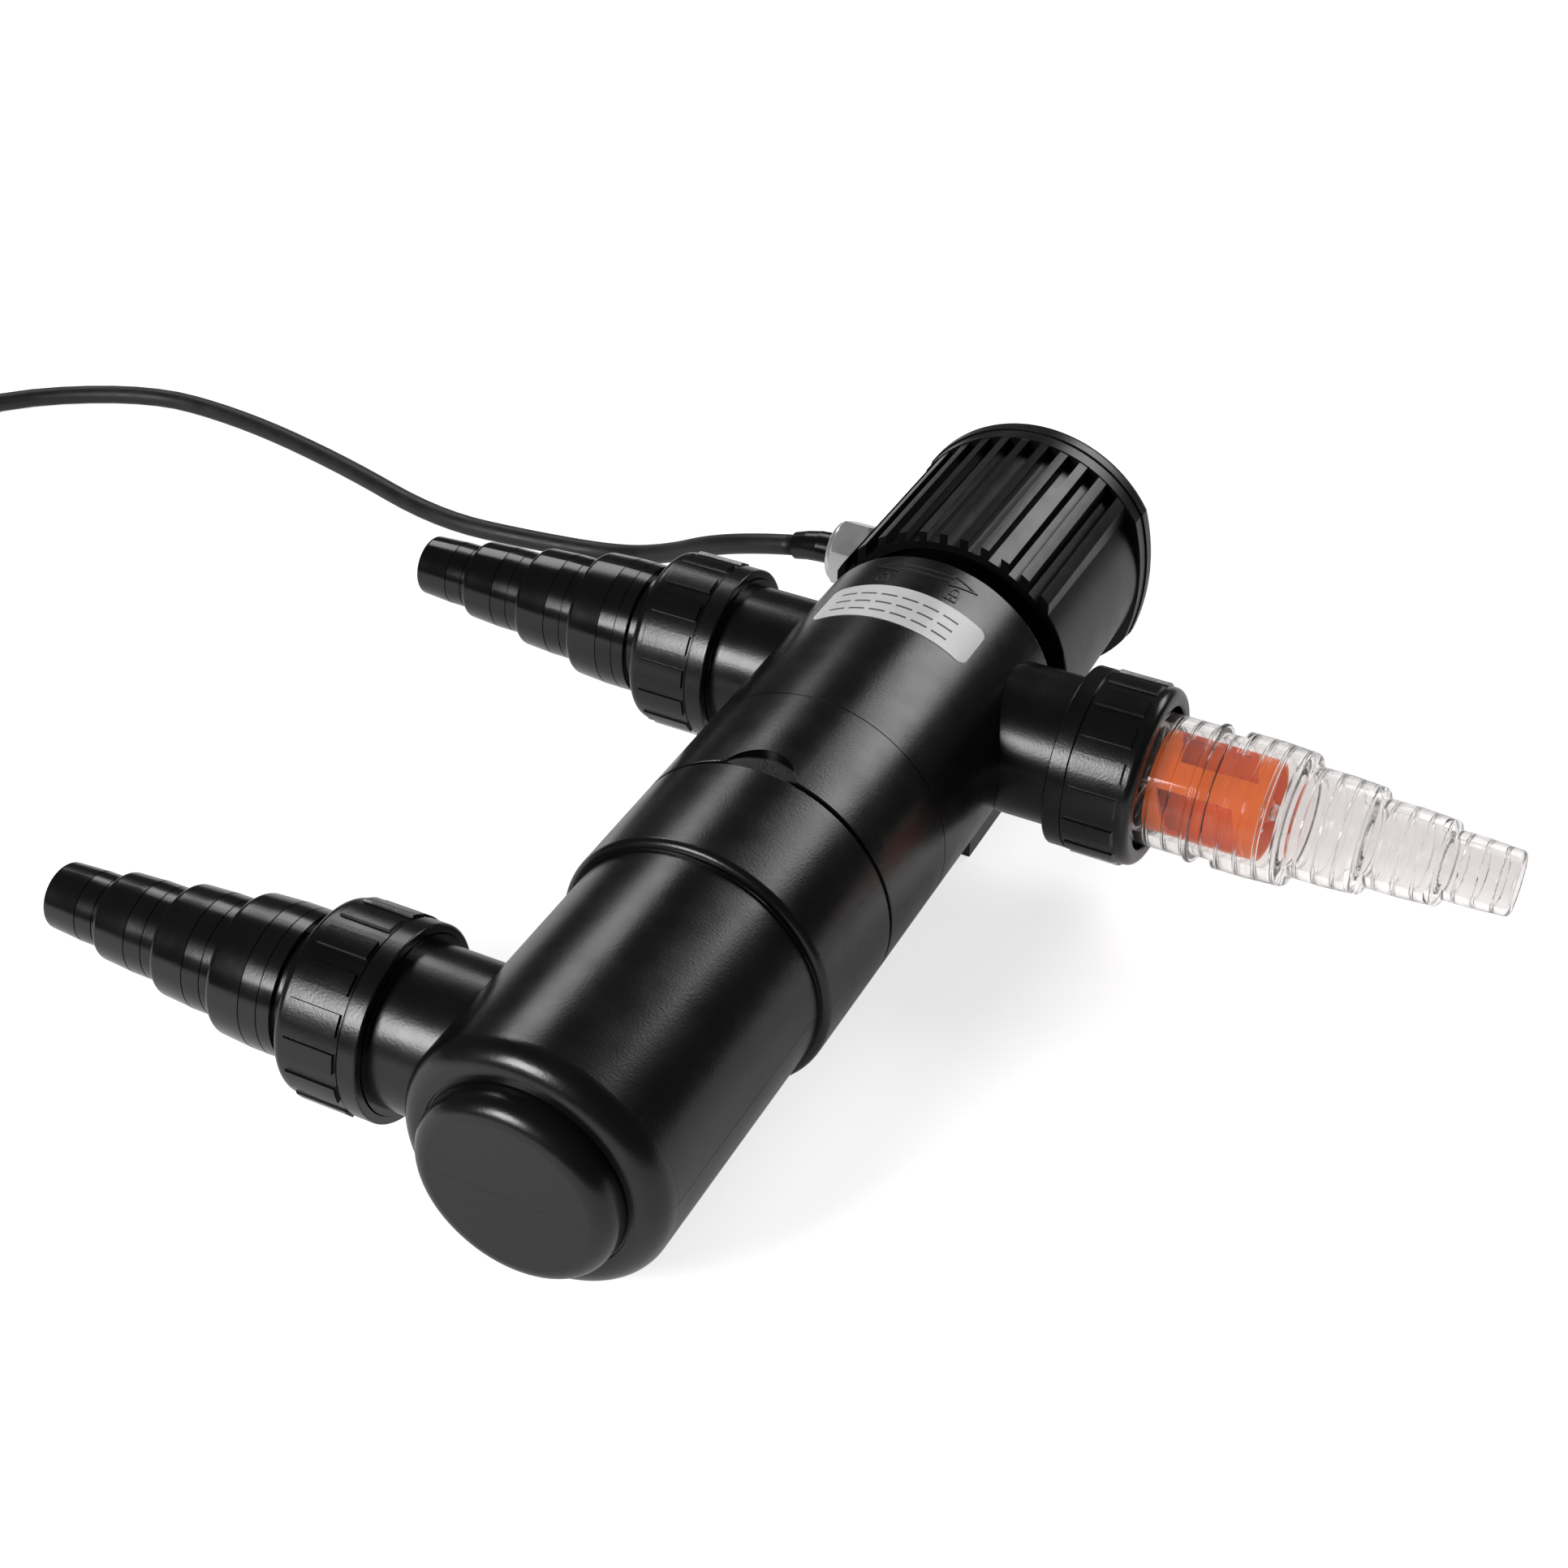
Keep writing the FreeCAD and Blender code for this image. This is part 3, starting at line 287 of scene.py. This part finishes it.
def make_materials():
    """Every material by name."""
    return {
        "housing": black_plastic("housing_plastic", (0.0032, 0.0032, 0.0035), 0.25, 0.22, 0.5),
        "nut": black_plastic("nut_plastic", (0.0032, 0.0032, 0.0036), 0.24, 0.25, 0.5),
        "tail": black_plastic("tail_plastic", (0.0036, 0.0036, 0.0042), 0.17, 0.10, 0.6),
        "head": black_plastic("head_plastic", (0.0034, 0.0034, 0.0036), 0.32, 0.25, 0.4),
        "clear": clear_plastic("clear_plastic", (0.84, 0.82, 0.812), clarity=0.97, bend=1.36,
                               ring_pitch=5.3 * MM),
        "quartz": clear_plastic("quartz_glass", (0.97, 0.98, 0.99), 0.01, 0.02),
        "lamp": clear_plastic("lamp_glass", (0.93, 0.95, 0.97), 0.02, 0.02),
        "orange": orange_plastic(),
        "chrome": plated_metal("nickel_plate", (0.95, 0.95, 0.94), 0.26, 0.6, 0.82),
        "brass": plated_metal("pin_plate", (0.78, 0.66, 0.42), 0.25, 0.1),
        "steel": plated_metal("screw_steel", (0.55, 0.55, 0.56), 0.3, 0.2),
        "seal": rubber("seal_rubber", (0.008, 0.008, 0.008), 0.55),
        "cord": rubber("cord_rubber", (0.0075, 0.0075, 0.008), 0.42),
        "white": plain_plastic("white_plastic", (0.82, 0.81, 0.78), 0.4),
        "board": plain_plastic("circuit_board", (0.03, 0.16, 0.06), 0.35),
        "label": plain_plastic("label_film", (0.93, 0.93, 0.94), 0.24),
        "ink": plain_plastic("label_ink", (0.11, 0.11, 0.115), 0.45),
        # painted light: the raised marks and parting lines are tinted lighter than the black housing
        # they are moulded in, in place of the light and shade on their relief
        "painted_light_marks": plain_plastic("raised_marks_painted_light", (0.018, 0.018, 0.019), 0.3),
    }


def paint_frame(materials):
    """Gives each CAD node its material."""
    painted = {
        "housing": ["housing_end", "lower_housing", "upper_housing", "lock_neck", "sleeve_cradle",
                    "inlet_port", "left_outlet_port", "right_outlet_port", "front_foot",
                    "rear_foot", "sleeve_clamp_ring", "safety_switch"],
        "nut": ["inlet_nut", "left_outlet_nut", "right_outlet_nut", "cord_sleeve"],
        "tail": ["inlet_tail", "left_outlet_tail"],
        "head": ["head_shell", "end_cover"],
        "clear": ["right_outlet_tail", "rotor_spider"],
        "quartz": ["quartz_sleeve"],
        "lamp": ["uv_lamp"],
        "orange": ["flow_rotor", "switch_plunger"],
        "chrome": ["gland_body", "gland_nut", "gland_locknut"],
        "brass": ["plug_pins"],
        "steel": ["cover_screws", "ballast_choke"],
        "seal": ["housing_seal", "sleeve_seal", "cover_gasket", "head_seal", "inlet_gasket",
                 "left_outlet_gasket", "right_outlet_gasket"],
        "cord": ["plug_body", "power_cord", "power_cord_coil", "plug_cord"],
        "white": ["lamp_base", "lamp_holder", "ballast_capacitor"],
        "board": ["ballast_board"],
        "label": ["label"],
    }
    for name, nodes in painted.items():
        for node in nodes:
            paint(NODES[node], materials[name])


# --- lead -----------------------------------------------------------------------------------
def coil_points(centre, start_angle, end_angle):
    """Points of the coil: three turns in each layer, in and out again, layer on layer."""
    steps = round(((COIL_LAYERS * 3 - 1) + (end_angle - start_angle) / (2 * math.pi)) * COIL_STEPS)
    points = []
    for i in range(1, steps + 1):
        turns = i / COIL_STEPS
        radius, height = coil_place(turns)
        angle = start_angle + turns * 2 * math.pi
        radius /= math.cos(math.pi / COIL_STEPS)
        points.append(centre + Vector((radius * math.cos(angle), radius * math.sin(angle), height)))
    return points


def coil_slot(index):
    """Radius and height of one turn, in millimetres."""
    layer, place = divmod(index, 3)
    if layer % 2:
        place = 2 - place
    return COIL_TURN_R_MM[place], 3.4 + 6.8 * layer


def coil_place(turns):
    """Radius and height after so many turns, easing over to the next turn or up a layer."""
    index = min(int(turns), COIL_LAYERS * 3 - 1)
    radius, height = coil_slot(index)
    if index < COIL_LAYERS * 3 - 1:
        next_radius, next_height = coil_slot(index + 1)
        over = smooth_step((turns - index - 1 + 2 * COIL_SHIFT) / COIL_SHIFT)
        up = smooth_step((turns - index - 1 + COIL_SHIFT) / COIL_SHIFT)
        radius += (next_radius - radius) * over
        height += (next_height - height) * up
    return radius * MM, height * MM


def smooth_step(value):
    """Eases from 0 to 1."""
    value = min(max(value, 0.0), 1.0)
    return value * value * (3 - 2 * value)


def lead_points():
    """The lead's control points: its free stretch, its coil, and the way to the plug."""
    route = [Vector(point) * MM for point in CORD_ROUTE_MM]
    heading = (route[-1] - route[-2]).normalized()
    left = Vector((-heading.y, heading.x, 0))
    outer = COIL_TURN_R_MM[0] * MM
    centre = route[-1] + left * outer
    centre.z = 0
    start_angle = math.atan2(-left.y, -left.x)
    exit_turn = math.radians(COIL_EXIT_DEG)
    end_angle = exit_turn - math.pi / 2 + 2 * math.pi
    points = route + coil_points(centre, start_angle, end_angle)
    turn = Matrix.Rotation(exit_turn, 3, "Z")
    points += [centre + turn @ (Vector(point) * MM) for point in PLUG_ROUTE_MM]
    return points


def line_of(points, fineness):
    """Points along the smooth NURBS line of the given control points."""
    curve = bpy.data.curves.new("lead_line", "CURVE")
    curve.dimensions = "3D"
    spline = curve.splines.new("NURBS")
    spline.points.add(len(points) - 1)
    for point, place in zip(spline.points, points):
        point.co = (*place, 1)
    spline.order_u = 3
    spline.use_endpoint_u = True
    curve.resolution_u = fineness
    holder = bpy.data.objects.new("lead_line", curve)
    bpy.context.scene.collection.objects.link(holder)
    bpy.context.view_layer.update()
    mesh = bpy.data.meshes.new_from_object(holder)
    line = [vertex.co.copy() for vertex in mesh.vertices]
    bpy.data.objects.remove(holder)
    bpy.data.meshes.remove(mesh)
    return line


def swept_tube(name, line, radius, sides):
    """A round tube along a line, closed at both ends, its sides carried along without twist."""
    bm = bmesh.new()
    rings = []
    across = None
    for i, place in enumerate(line):
        heading = (line[min(i + 1, len(line) - 1)] - line[max(i - 1, 0)]).normalized()
        if across is None:
            across = heading.orthogonal().normalized()
        across = (across - heading * across.dot(heading)).normalized()
        other = heading.cross(across)
        ring = []
        for k in range(sides):
            angle = 2 * math.pi * k / sides
            spoke = (across * math.cos(angle) + other * math.sin(angle)) * radius
            ring.append(bm.verts.new(place + spoke))
        rings.append(ring)
    for near, far in zip(rings, rings[1:]):
        for k in range(sides):
            bm.faces.new((near[k], near[(k + 1) % sides], far[(k + 1) % sides], far[k]))
    bm.faces.new(list(reversed(rings[0])))
    bm.faces.new(rings[-1])
    return mesh_object(name, bm)


def make_lead(materials):
    """The mains lead as one smooth tube; it bends between the head and what lies on the floor."""
    line = line_of(lead_points(), CORD_FINENESS)
    lead = swept_tube("mains_lead", line, CORD_R, CORD_SIDES)
    paint(lead, materials["cord"])
    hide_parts("power_cord", "power_cord_coil", "plug_cord")
    length = sum((b - a).length for a, b in zip(line, line[1:]))
    print("lead length", round(length, 3))
    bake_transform(lead)
    return lead


# --- moulded and printed marks --------------------------------------------------------------
def on_barrel(along, y, radius):
    """A point on the housing: along is the arc length from the top towards +X, all in mm."""
    angle = along / UPPER_R_MM
    place = Vector((radius * math.sin(angle), y, radius * math.cos(angle)))
    return place * MM + Vector((0, 0, AXIS_Z))


def subdivided(points, closed, step=1.0):
    """The same line of (along, y) points with extra points at most a step apart."""
    line = []
    ends = points[1:] + points[:1] if closed else points[1:]
    for (x0, y0), (x1, y1) in zip(points, ends):
        count = max(1, math.ceil(math.hypot(x1 - x0, y1 - y0) / step))
        line += [(x0 + (x1 - x0) * k / count, y0 + (y1 - y0) * k / count) for k in range(count)]
    return line if closed else line + [points[-1]]


def raised_line(bm, points, width, low, high, closed=False):
    """A flat raised line on the housing, mitred at its corners."""
    line = subdivided(points, closed)
    count = len(line)
    rings = []
    for i, (x, y) in enumerate(line):
        last = line[i - 1] if closed or i else line[i]
        following = line[(i + 1) % count] if closed or i + 1 < count else line[i]
        first = Vector((x - last[0], y - last[1]))
        second = Vector((following[0] - x, following[1] - y))
        first = (first if first.length else second).normalized()
        second = (second if second.length else first).normalized()
        middle = (first + second).normalized()
        side = Vector((-middle.y, middle.x)) * (width / 2 / max(0.35, middle.dot(first)))
        ring = [on_barrel(x + sign * side.x, y + sign * side.y, radius)
                for sign, radius in ((1, low), (1, high), (-1, high), (-1, low))]
        rings.append([bm.verts.new(place) for place in ring])
    pairs = list(zip(rings, rings[1:])) + ([(rings[-1], rings[0])] if closed else [])
    for near, far in pairs:
        for k in range(4):
            bm.faces.new((near[k], near[(k + 1) % 4], far[(k + 1) % 4], far[k]))
    if not closed:
        bm.faces.new(rings[0][::-1])
        bm.faces.new(rings[-1])


def make_turn_marks(materials):
    """Moulded double arrow with a closed and an open padlock under its two ends."""
    low, high = MARK_LOW_MM, MARK_HIGH_MM
    near_side = [(-ARROW_TIP, ARROW_Y),
                 (-ARROW_NECK, ARROW_Y - ARROW_HEAD_HALF),
                 (-ARROW_NECK, ARROW_Y - ARROW_SHAFT_HALF),
                 (ARROW_NECK, ARROW_Y - ARROW_SHAFT_HALF),
                 (ARROW_NECK, ARROW_Y - ARROW_HEAD_HALF)]
    arrow = near_side + [(-x, 2 * ARROW_Y - y) for x, y in near_side]
    bm = bmesh.new()
    raised_line(bm, arrow, 0.45, low, high, closed=True)
    for middle, lift in ((-PADLOCK_X, 0.0), (PADLOCK_X, OPEN_LIFT)):
        body = [(middle - 1.7, 3.6), (middle + 1.7, 3.6), (middle + 1.7, 6.0), (middle - 1.7, 6.0)]
        raised_line(bm, body, 0.45, low, high, closed=True)
        raised_line(bm, [(middle, 4.3), (middle, 5.3)], 0.5, low, high)
        shackle = [(middle + SHACKLE_R, 6.2)]
        for degrees in range(0, 181, 20):
            angle = math.radians(degrees)
            shackle.append((middle + SHACKLE_R * math.cos(angle),
                            6.9 + lift + SHACKLE_R * math.sin(angle)))
        shackle.append((middle - SHACKLE_R, 6.2 + lift))
        raised_line(bm, shackle, 0.4, low, high)
    marks = mesh_object("turn_marks", bm, "housing", smooth=False)
    # painted light: the marks are tinted lighter than the housing they are moulded in
    paint(marks, materials["painted_light_marks"])


def make_label_print(materials):
    """Three equal rows of plain dark dashes on the label, with no lettering."""
    low, high = LABEL_R_MM - DASH_HALF_HIGH, LABEL_R_MM + DASH_HALF_HIGH
    bm = bmesh.new()
    for y in DASH_ROWS_Y:
        for k in range(DASH_COUNT):
            start = DASH_START + k * (DASH_LONG + DASH_GAP)
            raised_line(bm, [(start, y), (start + DASH_LONG, y)], DASH_WIDE, low, high)
    print_piece = mesh_object("label_dashes", bm, "housing", smooth=False)
    paint(print_piece, materials["ink"])


def make_parting_lines(materials):
    """Faint mould parting lines: across the closed end and along both sides of the lower tube."""
    bm = bmesh.new()
    half, height = PARTING_WIDTH_MM / 2, PARTING_HEIGHT_MM
    strips = [((-PARTING_FACE_MM, FACE_Y_MM - height, -half), (PARTING_FACE_MM, FACE_Y_MM + 0.1, half))]
    for side, start, end in PARTING_SIDES_MM:
        edge = sorted((side * (LOWER_R_MM - 0.1), side * (LOWER_R_MM + height)))
        strips.append(((edge[0], start, -half), (edge[1], end, half)))
    for low, high in strips:
        size = [high[i] - low[i] for i in range(3)]
        middle = Vector([(high[i] + low[i]) / 2 for i in range(3)]) * MM + Vector((0, 0, AXIS_Z))
        matrix = Matrix.Translation(middle) @ Matrix.Diagonal((*[v * MM for v in size], 1))
        bmesh.ops.create_cube(bm, size=1.0, matrix=matrix)
    lines = mesh_object("parting_lines", bm, "housing", smooth=False)
    # painted light: the lines are tinted lighter than the housing they are moulded in
    paint(lines, materials["painted_light_marks"])


# --- studio ---------------------------------------------------------------------------------
def make_camera():
    """The camera at the measured place and angle."""
    yaw, pitch = math.radians(CAMERA_YAW), math.radians(CAMERA_PITCH)
    level = Vector((-math.sin(yaw), math.cos(yaw), 0))
    ahead = level * math.cos(pitch) - Vector((0, 0, math.sin(pitch)))
    right = Vector((math.cos(yaw), math.sin(yaw), 0))
    up = right.cross(ahead)
    roll = math.radians(CAMERA_ROLL)
    across = right * math.cos(roll) + up * math.sin(roll)
    upward = up * math.cos(roll) - right * math.sin(roll)
    data = bpy.data.cameras.new("camera")
    data.angle = CAMERA_ANGLE
    data.clip_start = 0.01
    camera = bpy.data.objects.new("camera", data)
    turn = Matrix((across, upward, -ahead)).transposed().to_4x4()
    camera.matrix_world = Matrix.Translation(CAMERA_PLACE) @ turn
    bpy.context.scene.collection.objects.link(camera)
    bpy.context.scene.camera = camera


def area_light(name, place, target, size, power):
    """A soft rectangular light aimed at a point."""
    data = bpy.data.lights.new(name, "AREA")
    data.shape = "RECTANGLE"
    data.size, data.size_y = size
    data.energy = power
    light = bpy.data.objects.new(name, data)
    light.location = place
    light.rotation_euler = (Vector(target) - Vector(place)).to_track_quat("-Z", "Y").to_euler()
    bpy.context.scene.collection.objects.link(light)


def seen_plainly(tree):
    """1 for what the camera sees directly or through clear plastic, 0 for what is reflected."""
    path = tree.nodes.new("ShaderNodeLightPath")
    either = tree.nodes.new("ShaderNodeMath")
    either.operation = "MAXIMUM"
    tree.links.new(path.outputs["Is Camera Ray"], either.inputs[0])
    tree.links.new(path.outputs["Is Transmission Ray"], either.inputs[1])
    return either.outputs["Value"]


def floor_material():
    """White floor: in reflections, a painted pool of light, white and glowing near the object and
    fading to painted shade at the edge; plain white where it is seen directly.
    """
    material, tree, shader = blank_material("floor_white")
    place = tree.nodes.new("ShaderNodeTexCoord")
    reach = tree.nodes.new("ShaderNodeVectorMath")
    reach.operation = "LENGTH"
    tree.links.new(place.outputs["Object"], reach.inputs[0])
    # painted shade: in reflections the floor's colour darkens from white in the middle to dim at the
    # edge
    near = ramp(tree, reach.outputs["Value"], *FLOOR_PAINTED_FALLOFF, FLOOR_WHITE, FLOOR_PAINTED_SHADE)
    seen = seen_plainly(tree)
    base = tree.nodes.new("ShaderNodeMath")
    base.operation = "MAXIMUM"
    tree.links.new(near, base.inputs[0])
    tree.links.new(ramp(tree, seen, 0.0, 1.0, 0.0, FLOOR_WHITE), base.inputs[1])
    tree.links.new(base.outputs["Value"], shader.inputs["Base Color"])
    shader.inputs["Roughness"].default_value = 1.0
    shader.inputs["Specular IOR Level"].default_value = 0.0
    shader.inputs["Emission Color"].default_value = (1, 1, 1, 1)
    glow = tree.nodes.new("ShaderNodeMath")
    glow.operation = "MAXIMUM"
    # painted glow: strongest in the middle of the floor, gone at its edge
    painted_glow = ramp(tree, reach.outputs["Value"], *FLOOR_PAINTED_FALLOFF, FLOOR_PAINTED_GLOW, 0.0)
    tree.links.new(painted_glow, glow.inputs[0])
    tree.links.new(ramp(tree, seen, 0.0, 1.0, 0.0, FLOOR_SEEN_GLOW), glow.inputs[1])
    tree.links.new(glow.outputs["Value"], shader.inputs["Emission Strength"])
    return material


def make_studio():
    """A white floor with a painted pool of light in reflections, a plain surround that is dim in
    reflections, and soft lights.
    """
    bm = bmesh.new()
    bmesh.ops.create_grid(bm, x_segments=1, y_segments=1, size=6.0)
    bmesh.ops.translate(bm, verts=bm.verts, vec=(0, 0, -0.0002))
    floor = mesh_object("studio_floor", bm, smooth=False)
    floor.data.materials.append(floor_material())
    world = bpy.data.worlds.new("surround")
    bpy.context.scene.world = world
    world.use_nodes = True
    tree = world.node_tree
    background = tree.nodes["Background"]
    background.inputs["Color"].default_value = (1, 1, 1, 1)
    strength = ramp(tree, seen_plainly(tree), 0.0, 1.0, SURROUND_STRENGTH, 1.0)
    tree.links.new(strength, background.inputs["Strength"])
    for name, place, size, power in LIGHTS:
        area_light(name, place, LIGHT_TARGET, size, power)
    bpy.context.scene.view_settings.view_transform = "Standard"


# --- build ----------------------------------------------------------------------------------
make_camera()
materials = make_materials()
paint_frame(materials)
make_lead(materials)
make_turn_marks(materials)
make_label_print(materials)
make_parting_lines(materials)
make_studio()
